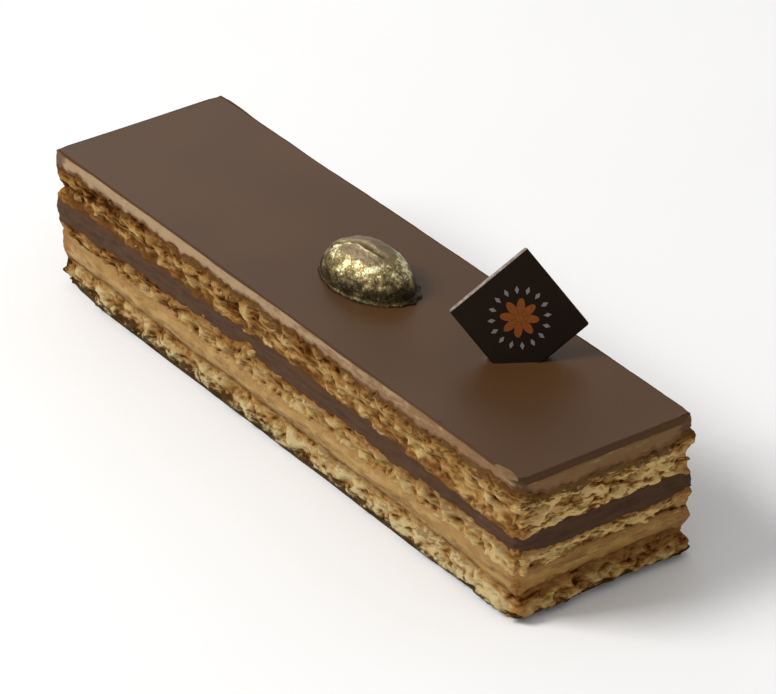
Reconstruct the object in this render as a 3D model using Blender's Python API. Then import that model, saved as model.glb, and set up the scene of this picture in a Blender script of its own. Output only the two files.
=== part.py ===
"""A slice of opera cake: three almond sponges, two coffee buttercreams, ganache and a chocolate glaze, all
layers that run right through, with a gilded chocolate coffee bean and a square chocolate plaque on top.

Metres, +Z up. The origin is the middle of the underside. +X runs along the slice and -Y is the long cut side
that shows best.
"""

import math

import bmesh
import bpy
from mathutils import Matrix, Vector, noise

MM = 0.001
COLLECTION = "opera_cake_slice"

# Driving dimensions of the slice
LENGTH = 120.0 * MM
WIDTH = 31.0 * MM
TOP = 24.2 * MM
GLAZE_THICKNESS = 1.2 * MM
GAP = 0.3 * MM

# Heights of the faces between the layers: along a long side at its far end, middle and near end, then at a
# short end, and deep inside the slice
FACE_HEIGHTS = {
    "underside": (0.0, 0.0, 0.0, 0.0, 0.0),
    "bottom sponge top": (4.9 * MM, 4.8 * MM, 4.2 * MM, 5.0 * MM, 4.8 * MM),
    "coffee cream top": (9.3 * MM, 8.5 * MM, 8.0 * MM, 8.4 * MM, 8.5 * MM),
    "ganache bottom": (11.7 * MM, 12.8 * MM, 12.1 * MM, 11.3 * MM, 12.2 * MM),
    "ganache top": (15.7 * MM, 15.9 * MM, 14.0 * MM, 14.7 * MM, 15.4 * MM),
    "top sponge top": (21.5 * MM, 21.9 * MM, 21.9 * MM, 20.8 * MM, 21.4 * MM),
    "glaze bottom": (23.6 * MM, 23.6 * MM, 23.6 * MM, 23.1 * MM, TOP - GLAZE_THICKNESS),
}
WAVE_HEIGHT = 0.35 * MM
WAVE_LENGTH = 9.0 * MM
RIPPLE_SHARE = 0.5

# The cut walls: how far they stand out or fall back at each height
WALL_PROFILE = (
    (0.0 * MM, -1.00 * MM),
    (1.5 * MM, 0.50 * MM),
    (4.7 * MM, -0.70 * MM),
    (7.2 * MM, 0.15 * MM),
    (9.2 * MM, -0.50 * MM),
    (12.0 * MM, 0.20 * MM),
    (15.0 * MM, 0.05 * MM),
    (17.2 * MM, -0.50 * MM),
    (19.8 * MM, 0.55 * MM),
    (22.2 * MM, 0.05 * MM),
    (TOP, -0.10 * MM),
)
FAR_PROFILE = (
    (0.0 * MM, -1.60 * MM),
    (1.3 * MM, -1.20 * MM),
    (2.2 * MM, -0.30 * MM),
    (3.2 * MM, -0.50 * MM),
    (4.5 * MM, -0.95 * MM),
    (6.2 * MM, -0.25 * MM),
    (8.0 * MM, -0.30 * MM),
    (10.4 * MM, -0.45 * MM),
    (11.8 * MM, 0.45 * MM),
    (14.7 * MM, 0.30 * MM),
    (16.0 * MM, 0.00 * MM),
    (17.8 * MM, -0.85 * MM),
    (19.5 * MM, 0.10 * MM),
    (TOP, 0.20 * MM),
)
FAR_START = 48.0 * MM
FAR_BLEND = 8.0 * MM
PROUDEST = 0.9 * MM
CORNER_BLEND = 5.0 * MM
CORNER_PULL = 0.7
SIDE_FOOT_FILL = 0.7 * MM
SIDE_FOOT_HEIGHT = 1.5 * MM

# Relief: torn crumb is short and deep, and knife smears are long and shallow
CRUMB_LENGTH = 2.6 * MM
CRUMB_SQUASH = 1.6
CRUMB_DEPTH = 1.0 * MM
SMEAR_LENGTH = 14.0 * MM
SMEAR_SQUASH = 5.0
SMEAR_DEPTH = 0.4 * MM
SMEAR_SEED = 40.0
TORN = 1.0
JOINED = 0.3
SPREAD_SMOOTH = 0.2

# Spacing of the points round the slice, and the ring where the wavy edge meets the flat inside
LONG_STEPS = 48
SHORT_STEPS = 12
RING_WIDTH = 4.0 * MM
GLAZE_EDGE_RADIUS = 0.35 * MM

# The coffee bean, from above: its middle, half sizes and turn
BEAN_PLACE = Vector((2.55 * MM, 0.0, TOP))
BEAN_TURN = math.radians(5.4)
BEAN_HALF_LENGTH = 8.9 * MM
BEAN_HALF_WIDTH = 5.75 * MM
BEAN_HEIGHT = 6.4 * MM
BEAN_GROOVE_DEPTH = 0.9 * MM
BEAN_GROOVE_REACH = 0.7
BEAN_GROOVE_WIDTH = 0.1
BEAN_FOOT_HEIGHT = 0.5 * MM
BEAN_FOOT_WIDTH = 0.45 * MM
BEAN_FOOT_UNEVENNESS = 0.6
BEAN_FLASH_REACH = 1.1 * MM
BEAN_FLASH_ANGLE = math.radians(12)
BEAN_FLASH_NARROWNESS = 6
BEAN_SEGMENTS = 40
BEAN_RINGS = 20

# The plaque: a square on one corner, which is pressed through the glaze
PLAQUE_SIDE = 14.5 * MM
PLAQUE_THICKNESS = 1.8 * MM
PLAQUE_FOOT = Vector((34.3 * MM, 2.85 * MM, TOP))
PLAQUE_CORNER_DEPTH = 3.5 * MM
PLAQUE_TURN = math.radians(58.0)
PLAQUE_LEAN = math.radians(22.0)
PLAQUE_ROLL = math.radians(-7.0)
PLAQUE_EDGE_RADIUS = 0.25 * MM


def clear_scene():
    for item in list(bpy.data.objects):
        bpy.data.objects.remove(item, do_unlink=True)


def new_collection(name, hidden=False):
    collection = bpy.data.collections.new(name)
    collection.hide_render = hidden
    bpy.context.scene.collection.children.link(collection)
    return collection


def material(name, colour, roughness, metallic=0.0):
    finish = bpy.data.materials.new(name)
    finish.use_nodes = True
    finish.diffuse_color = (*colour, 1.0)
    shader = finish.node_tree.nodes["Principled BSDF"]
    shader.inputs["Base Color"].default_value = (*colour, 1.0)
    shader.inputs["Roughness"].default_value = roughness
    shader.inputs["Metallic"].default_value = metallic
    return finish


def object_from_bmesh(name, bm, collection, finish=None, smooth_angle=math.radians(30)):
    mesh = bpy.data.meshes.new(name)
    bm.to_mesh(mesh)
    bm.free()
    mesh.shade_smooth()
    mesh.set_sharp_from_angle(angle=smooth_angle)
    if finish:
        mesh.materials.append(finish)
    piece = bpy.data.objects.new(name, mesh)
    collection.objects.link(piece)
    return piece


def smooth_step(t):
    t = min(max(t, 0.0), 1.0)
    return t * t * (3.0 - 2.0 * t)


def outline_points():
    """The points round the slice, anticlockwise, each with its outward direction: diagonal at a corner."""
    half_length = LENGTH / 2
    half_width = WIDTH / 2
    points = []
    for corner, steps, along, outward in (
        ((-half_length, -half_width), LONG_STEPS, (LENGTH, 0.0), (0.0, -1.0)),
        ((half_length, -half_width), SHORT_STEPS, (0.0, WIDTH), (1.0, 0.0)),
        ((half_length, half_width), LONG_STEPS, (-LENGTH, 0.0), (0.0, 1.0)),
        ((-half_length, half_width), SHORT_STEPS, (0.0, -WIDTH), (-1.0, 0.0)),
    ):
        for step in range(steps):
            t = step / steps
            place = Vector((corner[0] + along[0] * t, corner[1] + along[1] * t, 0.0))
            direction = Vector((*outward, 0.0))
            if step == 0:
                pull = (math.copysign(CORNER_PULL, place.x), math.copysign(CORNER_PULL, place.y))
                direction = Vector((*pull, 0.0))
            points.append((place, direction))
    return points


def face_height(face, place):
    """Height of the face between two layers at a point of the outline."""
    far, middle, near, end, _ = FACE_HEIGHTS[face]
    t = place.x / (LENGTH / 2)
    along_side = middle + ((near if t > 0 else far) - middle) * t * t
    from_corner = WIDTH / 2 - abs(place.y)
    at_end = smooth_step(1.0 - (LENGTH / 2 - abs(place.x)) / GAP)
    height = along_side + (end - along_side) * at_end * smooth_step(from_corner / CORNER_BLEND)
    if face == "underside":
        return height
    number = list(FACE_HEIGHTS).index(face)
    wave = noise.noise(Vector((place.x / WAVE_LENGTH, place.y / WAVE_LENGTH, 2 * number)))
    ripple = noise.noise(Vector((place.x / CRUMB_LENGTH, place.y / CRUMB_LENGTH, 2 * number + 1)))
    return height + WAVE_HEIGHT * (wave + RIPPLE_SHARE * ripple)


def profile_at(profile, height):
    for (low, low_offset), (high, high_offset) in zip(profile, profile[1:]):
        if height <= high:
            return low_offset + (high_offset - low_offset) * smooth_step((height - low) / (high - low))
    return profile[-1][1]


def wall_profile(place, height):
    """How far the wall stands out at each height, which is different at the far end."""
    plain = profile_at(WALL_PROFILE, height)
    share = smooth_step((-place.x - FAR_START) / FAR_BLEND)
    return plain + (profile_at(FAR_PROFILE, height) - plain) * share


def foot_fill(place, height):
    """The long sides stand nearly upright on their foot, where the ends are undercut."""
    from_end = LENGTH / 2 - abs(place.x)
    return SIDE_FOOT_FILL * smooth_step(from_end / CORNER_BLEND) * (1.0 - smooth_step(height / SIDE_FOOT_HEIGHT))


def wall_offset(place, height, roughness):
    """How far the cut wall stands out of the plain box. roughness is the share of the full crumb depth."""
    crumb = noise.noise(Vector((place.x, place.y, height * CRUMB_SQUASH)) / CRUMB_LENGTH)
    along_smear = Vector((place.x, place.y, height * SMEAR_SQUASH)) / SMEAR_LENGTH
    smear = noise.noise(along_smear + Vector((0.0, 0.0, SMEAR_SEED)))
    offset = wall_profile(place, height) + foot_fill(place, height)
    offset += CRUMB_DEPTH * roughness * crumb + SMEAR_DEPTH * smear
    return min(offset, PROUDEST)


def wall_ring(points, height_of, roughness, inset=0.0):
    ring = []
    for place, direction in points:
        height = height_of(place)
        moved = place + direction * (wall_offset(place, height, roughness) - inset)
        ring.append(Vector((moved.x, moved.y, height)))
    return ring


def flat_ring(points, height):
    """The ring inside a layer's edge, from where its face is flat."""
    scale = Vector((1.0 - 2 * RING_WIDTH / LENGTH, 1.0 - 2 * RING_WIDTH / WIDTH, 0.0))
    return [Vector((place.x * scale.x, place.y * scale.y, height)) for place, _ in points]


def loft(rings):
    """One closed body through rings of equal count, from the lowest to the highest."""
    bm = bmesh.new()
    rows = [[bm.verts.new(point) for point in ring] for ring in rings]
    count = len(rows[0])
    for lower, upper in zip(rows, rows[1:]):
        for i in range(count):
            j = (i + 1) % count
            bm.faces.new((lower[i], lower[j], upper[j], upper[i]))
    bm.faces.new(reversed(rows[0]))
    bm.faces.new(rows[-1])
    bmesh.ops.recalc_face_normals(bm, faces=bm.faces)
    return bm


def layer(name, bottom, top, row_fractions, roughness, collection, finish):
    """A layer between two of the faces, with rows of points up its wall at these fractions of its height."""
    points = outline_points()
    lift = 0.0 if bottom == "underside" else GAP / 2

    def height_at(fraction):
        def height(place):
            low = face_height(bottom, place) + lift
            high = face_height(top, place) - GAP / 2
            return low + fraction * (high - low)

        return height

    rings = [flat_ring(points, FACE_HEIGHTS[bottom][-1] + lift)]
    rings.append(wall_ring(points, height_at(0.0), JOINED))
    for fraction in row_fractions:
        rings.append(wall_ring(points, height_at(fraction), roughness))
    rings.append(wall_ring(points, height_at(1.0), JOINED))
    rings.append(flat_ring(points, FACE_HEIGHTS[top][-1] - GAP / 2))
    return object_from_bmesh(name, loft(rings), collection, finish)


def glaze(name, collection, finish):
    """The poured glaze: a flat top with a crisp, slightly rounded edge."""
    points = outline_points()

    def low(place):
        return face_height("glaze bottom", place) + GAP / 2

    rings = [
        flat_ring(points, FACE_HEIGHTS["glaze bottom"][-1] + GAP / 2),
        wall_ring(points, low, 0.0),
        wall_ring(points, lambda place: TOP - GLAZE_EDGE_RADIUS / 2, 0.0),
        wall_ring(points, lambda place: TOP, 0.0, GLAZE_EDGE_RADIUS),
    ]
    return object_from_bmesh(name, loft(rings), collection, finish)


def bean_point(point):
    """Takes a point of the round bean to its real form: the groove down its back is pressed in."""
    along = abs(point.x) / BEAN_HALF_LENGTH
    across = point.y / BEAN_HALF_WIDTH
    if point.z > 0.0 and along < BEAN_GROOVE_REACH:
        fade = math.sqrt(1.0 - (along / BEAN_GROOVE_REACH) ** 2)
        press = fade * math.exp(-((across / BEAN_GROOVE_WIDTH) ** 2))
        return Vector((point.x, point.y, point.z - BEAN_GROOVE_DEPTH * press))
    return point


def bean_foot_rings():
    """The thin uneven foot round the bean, with a flash of chocolate at its near end."""
    rings = []
    for height, spread in ((0.0, BEAN_FOOT_WIDTH), (BEAN_FOOT_HEIGHT, BEAN_FOOT_WIDTH * 0.7)):
        ring = []
        for step in range(BEAN_SEGMENTS):
            angle = 2 * math.pi * step / BEAN_SEGMENTS
            across, along = math.sin(angle), math.cos(angle)
            uneven = 1.0 + BEAN_FOOT_UNEVENNESS * noise.noise(Vector((along, across, 1.5)) * 2.0)
            flash = max(0.0, math.cos(angle - BEAN_FLASH_ANGLE)) ** BEAN_FLASH_NARROWNESS
            reach = spread * uneven + BEAN_FLASH_REACH * flash
            ring.append(
                Vector(((BEAN_HALF_LENGTH + reach) * along, (BEAN_HALF_WIDTH + reach) * across, height))
            )
        rings.append(ring)
    return rings


def coffee_bean(name, collection, cutters, finish):
    """A moulded half bean with a groove, on a thin uneven foot that the two are cast with."""
    bm = bmesh.new()
    lengthwise = Matrix.Rotation(math.radians(90), 4, "Y")
    half_sizes = (BEAN_HALF_LENGTH, BEAN_HALF_WIDTH, BEAN_HEIGHT)
    bmesh.ops.create_uvsphere(
        bm,
        u_segments=BEAN_SEGMENTS,
        v_segments=BEAN_RINGS,
        radius=1.0,
        matrix=Matrix.Diagonal((*half_sizes, 1.0)) @ lengthwise,
    )
    for vert in bm.verts:
        vert.co = bean_point(vert.co)
    cut = bmesh.ops.bisect_plane(
        bm,
        geom=bm.verts[:] + bm.edges[:] + bm.faces[:],
        plane_co=(0.0, 0.0, 0.0),
        plane_no=(0.0, 0.0, 1.0),
        clear_inner=True,
    )
    rim = [item for item in cut["geom_cut"] if isinstance(item, bmesh.types.BMEdge)]
    bmesh.ops.contextual_create(bm, geom=rim)
    bmesh.ops.recalc_face_normals(bm, faces=bm.faces)
    bean = object_from_bmesh(name, bm, collection, finish)

    foot = object_from_bmesh(name + "_foot", loft(bean_foot_rings()), cutters)
    foot.hide_render = True
    foot.display_type = "WIRE"
    join = bean.modifiers.new("Foot", "BOOLEAN")
    join.operation = "UNION"
    join.solver = "EXACT"
    join.object = foot
    for piece in (bean, foot):
        piece.location = BEAN_PLACE + Vector((0.0, 0.0, GAP))
        piece.rotation_euler.z = BEAN_TURN
    return bean


def plaque_frame():
    """The plaque's own frame: X across its face, Y through it to the back and Z up its face."""
    turn = Matrix.Rotation(PLAQUE_TURN, 4, "Z")
    lean = Matrix.Rotation(-PLAQUE_LEAN, 4, "X")
    roll = Matrix.Rotation(-PLAQUE_ROLL, 4, "Y")
    upright = turn @ lean
    corner = PLAQUE_FOOT - upright.to_3x3() @ Vector((0.0, 0.0, PLAQUE_CORNER_DEPTH))
    return Matrix.Translation(corner) @ upright @ roll


def plaque_body(grow=0.0):
    """The square on its corner, cut off level at the buttercream, larger all round by grow."""
    half_diagonal = PLAQUE_SIDE / math.sqrt(2)
    on_corner = Matrix.Rotation(math.radians(45), 4, "Y")
    size = Matrix.Diagonal(
        (PLAQUE_SIDE + 2 * grow, PLAQUE_THICKNESS + 2 * grow, PLAQUE_SIDE + 2 * grow, 1.0)
    )
    middle = Matrix.Translation((0.0, PLAQUE_THICKNESS / 2, half_diagonal))
    bm = bmesh.new()
    bmesh.ops.create_cube(bm, size=1.0, matrix=middle @ on_corner @ size)
    bmesh.ops.bevel(
        bm,
        geom=bm.edges[:],
        offset=PLAQUE_EDGE_RADIUS,
        offset_type="OFFSET",
        segments=2,
        profile=0.5,
        affect="EDGES",
    )
    bmesh.ops.transform(bm, matrix=plaque_frame(), verts=bm.verts)
    return bm


def plaque(name, collection, finish):
    bm = plaque_body()
    cut = bmesh.ops.bisect_plane(
        bm,
        geom=bm.verts[:] + bm.edges[:] + bm.faces[:],
        plane_co=(0.0, 0.0, TOP - GLAZE_THICKNESS + GAP / 2),
        plane_no=(0.0, 0.0, 1.0),
        clear_inner=True,
    )
    rim = [item for item in cut["geom_cut"] if isinstance(item, bmesh.types.BMEdge)]
    bmesh.ops.contextual_create(bm, geom=rim)
    bmesh.ops.recalc_face_normals(bm, faces=bm.faces)
    return object_from_bmesh(name, bm, collection, finish)


def cut_plaque_slot(glazing, cutters):
    cutter = object_from_bmesh("plaque_slot", plaque_body(GAP), cutters)
    cutter.hide_render = True
    cutter.display_type = "WIRE"
    slot = glazing.modifiers.new("Slot", "BOOLEAN")
    slot.operation = "DIFFERENCE"
    slot.solver = "EXACT"
    slot.object = cutter


def main():
    clear_scene()
    cake = new_collection(COLLECTION)
    cutters = new_collection("cutters", hidden=True)
    sponge = material("almond_sponge", (0.45, 0.27, 0.11), 0.9)
    cream = material("coffee_buttercream", (0.44, 0.27, 0.12), 0.55)
    ganache = material("ganache", (0.075, 0.05, 0.04), 0.45)
    shine = material("chocolate_glaze", (0.13, 0.075, 0.052), 0.3)
    gilt = material("gilded_chocolate", (0.32, 0.26, 0.1), 0.35, 0.6)
    dark = material("dark_chocolate", (0.012, 0.008, 0.006), 0.3)

    for name, bottom, top, rows, roughness, finish in (
        ("sponge_bottom", "underside", "bottom sponge top", (0.25, 0.5, 0.78), TORN, sponge),
        ("buttercream_middle", "bottom sponge top", "coffee cream top", (0.3, 0.7), SPREAD_SMOOTH, cream),
        ("sponge_middle", "coffee cream top", "ganache bottom", (0.2, 0.5, 0.8), TORN, sponge),
        ("ganache", "ganache bottom", "ganache top", (0.35, 0.7), SPREAD_SMOOTH, ganache),
        ("sponge_top", "ganache top", "top sponge top", (0.16, 0.38, 0.62, 0.84), TORN, sponge),
        ("buttercream_top", "top sponge top", "glaze bottom", (0.5,), SPREAD_SMOOTH, cream),
    ):
        layer(name, bottom, top, rows, roughness, cake, finish)
    glazing = glaze("glaze", cake, shine)
    cut_plaque_slot(glazing, cutters)
    coffee_bean("coffee_bean", cake, cutters, gilt)
    plaque("plaque", cake, dark)


if __name__ == "__main__":
    main()
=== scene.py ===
"""Dresses a slice of opera cake: torn almond sponge, smeared buttercream, ganache, a satin glaze, a gilded
chocolate bean and a printed plaque, each in the place of its solid. Metres, +Z up, as in the frame."""

import math

import bmesh
import bpy
import numpy as np
from bpy.props import FloatProperty, FloatVectorProperty, IntProperty, PointerProperty
from mathutils import Matrix, Vector, noise


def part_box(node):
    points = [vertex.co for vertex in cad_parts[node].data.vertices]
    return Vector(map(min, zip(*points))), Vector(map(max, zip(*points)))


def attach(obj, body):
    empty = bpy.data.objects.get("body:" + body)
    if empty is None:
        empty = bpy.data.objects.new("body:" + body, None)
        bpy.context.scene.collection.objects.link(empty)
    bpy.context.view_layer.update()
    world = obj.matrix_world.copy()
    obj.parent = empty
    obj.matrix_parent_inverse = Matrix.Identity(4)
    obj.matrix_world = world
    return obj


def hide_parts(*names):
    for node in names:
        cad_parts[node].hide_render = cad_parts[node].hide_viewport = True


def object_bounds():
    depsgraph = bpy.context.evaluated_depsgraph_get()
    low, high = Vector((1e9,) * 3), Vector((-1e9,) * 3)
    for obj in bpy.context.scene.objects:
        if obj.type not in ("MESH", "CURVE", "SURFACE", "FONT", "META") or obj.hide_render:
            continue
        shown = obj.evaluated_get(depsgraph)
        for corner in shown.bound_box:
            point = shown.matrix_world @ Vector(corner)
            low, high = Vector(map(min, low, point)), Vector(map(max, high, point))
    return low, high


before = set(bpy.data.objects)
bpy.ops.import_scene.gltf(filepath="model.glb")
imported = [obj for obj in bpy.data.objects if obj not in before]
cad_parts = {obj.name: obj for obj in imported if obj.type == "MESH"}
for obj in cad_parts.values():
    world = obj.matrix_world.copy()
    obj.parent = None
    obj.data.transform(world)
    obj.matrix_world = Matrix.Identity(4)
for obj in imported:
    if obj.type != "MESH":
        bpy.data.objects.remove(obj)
CAD_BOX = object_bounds()

bl_info = {
    "name": "Opera cake slice",
    "version": (1, 0, 0),
    "blender": (4, 5, 0),
    "location": "View3D > Sidebar > Opera cake",
    "description": "Finishes an opera cake slice with crumb, cream, glaze and its two decorations",
    "category": "Object",
}

MM = 0.001
BODY = "root"
TOUCH = 1e-6
FLAT = np.array((1.0, 1.0, 0.0))


def in_metres(table):
    """Turns a table of numbers in millimetres into metres."""
    if isinstance(table, dict):
        return {name: in_metres(entry) for name, entry in table.items()}
    return tuple(map(in_metres, table)) if isinstance(table, tuple) else table * MM


# The plain box of the slice, which the cut walls waver round
LENGTH = 120.0 * MM
WIDTH = 31.0 * MM
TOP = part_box("glaze")[1].z
HALF_LENGTH = LENGTH / 2
HALF_WIDTH = WIDTH / 2

# Heights of the faces between the layers: along a long side at its far end, middle and near end, then at a
# short end, and deep inside the slice
FACE_HEIGHTS = in_metres({
    "underside": (0.0, 0.0, 0.0, 0.0, 0.0),
    "bottom sponge top": (4.9, 4.8, 4.2, 5.0, 4.8),
    "coffee cream top": (9.3, 8.5, 8.0, 8.4, 8.5),
    "ganache bottom": (11.7, 12.8, 12.1, 11.3, 12.2),
    "ganache top": (15.7, 15.9, 14.0, 14.7, 15.4),
    "top sponge top": (21.5, 21.9, 21.9, 20.8, 21.4),
    "glaze bottom": (24.02, 24.0, 23.96, 22.95, 23.0),
})
# How jagged each of those faces is at the wall, from the underside up
FACE_JAGS = in_metres(dict(zip(FACE_HEIGHTS, (0.0, 0.3, 0.45, 0.35, 0.35, 0.6, 0.05))))
JAG_LENGTH = 1.25 * MM
WAVE_HEIGHT = 0.35 * MM
WAVE_LENGTH = 9.0 * MM
RIPPLE_SHARE = 0.5
END_BLEND = 0.8 * MM
# Where crumb is dragged up over the ganache on the near side: place along the slice, reach and rise
TORN_PATCH = (-7.0 * MM, 2.3 * MM, 1.5 * MM)

# The cut walls: pairs of a height, and how far the wall stands out or falls back there
WALL_PROFILE = in_metres((
    (0.0, -1.00), (1.5, 0.50), (4.7, -0.70), (7.2, 0.15), (9.2, -0.50), (12.0, 0.20), (15.0, 0.05),
    (17.2, -0.50), (19.8, 0.55), (22.2, 0.05), (TOP / MM, -0.10),
))
FAR_PROFILE = in_metres((
    (0.0, -1.60), (1.3, -1.20), (2.2, -0.30), (3.2, -0.50), (4.5, -0.95), (6.2, -0.25), (8.0, -0.30),
    (10.4, -0.45), (11.8, 0.45), (14.7, 0.30), (16.0, 0.00), (17.8, -0.85), (19.5, 0.10), (TOP / MM, 0.20),
))
FAR_START = 48.0 * MM
FAR_BLEND = 8.0 * MM
PROUDEST = 0.85 * MM
CORNER_BLEND = 5.0 * MM
CORNER_ROUND = 2.0 * MM
CORNER_PULL = 0.7
FILLET_SHARE = 0.293
SIDE_FOOT_FILL = 0.8 * MM
SIDE_FOOT_HEIGHT = 1.5 * MM

# How the layers' blocks meet: they overlap by the tuck at the wall, and their caps lie inside a ring
TUCK = 0.12 * MM
CAP_RING = 3.5 * MM
CAP_OVERLAP = 0.15 * MM
MERGE = 0.001 * MM
SPONGE_ROW = 0.2 * MM
CREAM_ROW = 0.25 * MM
GLAZE_COUNTS = (400, 100, 10)

# Torn crumb and the long drags of the knife
CRUMB_LENGTH = 2.6 * MM
CRUMB_SQUASH = 1.6
CRUMB_DEPTH = 1.0 * MM
DRAG_LENGTH = 14.0 * MM
DRAG_SQUASH = 5.0
DRAG_DEPTH = 0.4 * MM
DRAG_SEED = 40.0
TORN_SHARE = 0.35
CREAM_ROUGHNESS = 0.2
NICK_SEED = 77
RIM_SHARE = 0.35
FOOT_CALM = 0.85
DEEPEST_HOLE = 0.55 * MM
DEEPEST_CUT = 0.7 * MM
TALLEST_LUMP = 0.45 * MM
RELIEF_RANGE = (-0.42 * MM, 0.6 * MM)

# Clouds on the sponges' walls: scale and strength in millimetres, stretch, tilt, middle and kind
SPONGE_CLOUDS = (
    (1.1, 0.16, 2.0, 6, 0.3, {"noise_basis": "VORONOI_F2_F1", "noise_depth": 1}),
    (0.5, 0.14, 2.2, 9, 0.5, {"noise_type": "HARD_NOISE", "noise_depth": 2}),
    (0.9, 0.22, 1.8, 4, 0.5, {"noise_depth": 1}),
    (0.3, 0.08, 1.5, 0, 0.5, {"noise_depth": 1}),
)

# The glaze's edge and its swell, and the rim that the plaque pushed up round its slot
GLAZE_WAVE = 0.12 * MM
GLAZE_WAVER = 0.4
GLAZE_BLEND = 1.6 * MM
GLAZE_ROUND = 0.3 * MM
GLAZE_BLUNT = 0.5 * MM
GLAZE_LIP = 0.16 * MM
SWELL_DEPTH = 0.015 * MM
SWELL_LENGTH = 24.0 * MM
SWELL_BLEND = 2.0 * MM
SLOT_HALF_SIZES = (3.4 * MM, 0.8 * MM)
SLOT_MIDDLE = 1.0 * MM
SLOT_RIM = 0.12 * MM
SLOT_RIM_WIDTH = 0.4 * MM

# Places and sizes of the bean and the plaque
BEAN_PLACE = Vector((2.55 * MM, 0.0, TOP))
BEAN_TURN = math.radians(5.4)
BEAN_HALF_SIZES = Vector((8.9 * MM, 5.75 * MM, 6.4 * MM))
PLAQUE_FOOT = Vector((34.3 * MM, 2.85 * MM, TOP))
PLAQUE_CORNER_DEPTH = 3.5 * MM
PLAQUE_TURN = math.radians(58.0)
PLAQUE_LEAN = math.radians(22.0)
PLAQUE_ROLL = math.radians(-7.0)
PLAQUE_BEVEL = 0.35 * MM
PLAQUE_LIFT = 0.2 * MM
PRINT_THICKNESS = 0.06 * MM

# The bean's cast foot, with the flash that reaches out on one side
BEAN_FOOT_HEIGHT = 0.35 * MM
BEAN_FOOT_REACH = 0.3 * MM
BEAN_FLASH_REACH = 1.0 * MM
BEAN_FLASH_TURN = math.radians(12)
BEAN_VOXEL = 0.13 * MM

# The larger crumbs on the near long side and the near end: place and radius in millimetres
TORN_LUMPS = (
    (-55.5, -15.5, 17.0, 0.9),
    (-50.0, -15.5, 16.9, 0.9),
    (-7.2, -15.5, 12.5, 1.1),
    (-5.2, -15.5, 12.9, 1.3),
    (-19.0, -15.5, 13.2, 0.7),
    (37.0, -15.5, 16.6, 0.9),
    (52.4, -15.5, 15.4, 0.9),
    (59.5, -15.1, 14.8, 1.1),
    (59.7, -15.2, 6.5, 0.9),
    (59.1, -15.4, 11.5, 0.9),
    (60.0, -10.0, 17.6, 1.1),
    (60.0, -4.4, 16.6, 1.0),
    (60.0, 0.5, 18.6, 1.1),
)
LUMP_SINK = 0.55
CRUMB_SINK = 0.1
CRUMB_SEED = 5
CRUMB_LEVELS = in_metres(((0.8, 4.4), (8.6, 11.8), (16.2, 21.0)))

# How near a short end or a corner the colours change, with syrup stains at the corners, and how the short
# ends are tinted; the bottom sponge's darker short ends are painted shade
END_REACH = 1.6 * MM
FULL_REACH = 0.4 * MM
CORNER_STAIN = 4.5 * MM
END_WARMTH = (1.0, 0.94, 0.80)

# Place and size of the smear of cream on the glaze's edge
SMEAR_PLACE = Vector((57.2 * MM, -15.4 * MM, TOP - 0.04 * MM))
SMEAR_HALF_SIZES = (2.6 * MM, 0.55 * MM, 0.09 * MM)
SMEAR_TURN = (math.radians(14), 0.0, 0.0)

# The camera, as fitted to the slice's corners
CAMERA_AZIMUTH = math.radians(54.188)
CAMERA_ELEVATION = math.radians(30.752)
CAMERA_DISTANCE = 675.4 * MM
CAMERA_RIGHT = 4.44 * MM
CAMERA_UP = 9.86 * MM
CAMERA_LENS = 205.3
CAMERA_SENSOR = 36.0

# The stage
FLOOR_SIZE = 4.0
WORLD_LIGHT = 0.5


def colour_property(name, description, default):
    return FloatVectorProperty(
        name=name, description=description, default=default, subtype="COLOR", min=0.0, max=1.0
    )


def size_property(name, description, default):
    return FloatProperty(name=name, description=description, default=default, unit="LENGTH")


class CakeSizes(bpy.types.PropertyGroup):
    """Sizes that can be changed without moving a solid."""

    mesh_step: size_property("Mesh step", "Spacing of the points on the cut walls", 0.2 * MM)
    pore_depth: size_property("Pore depth", "Depth of the larger holes in the sponge", 0.42 * MM)
    lump_height: size_property("Lump height", "How far torn lumps of crumb stand out", 0.3 * MM)
    plaque_side: size_property("Plaque side", "Side of the square plaque", 14.5 * MM)
    plaque_thickness: size_property("Plaque thickness", "Thickness of the plaque", 1.8 * MM)
    crumb_count: IntProperty(
        name="Loose crumbs", description="Crumbs that cling to the cut sides", default=90, min=0
    )


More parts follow.
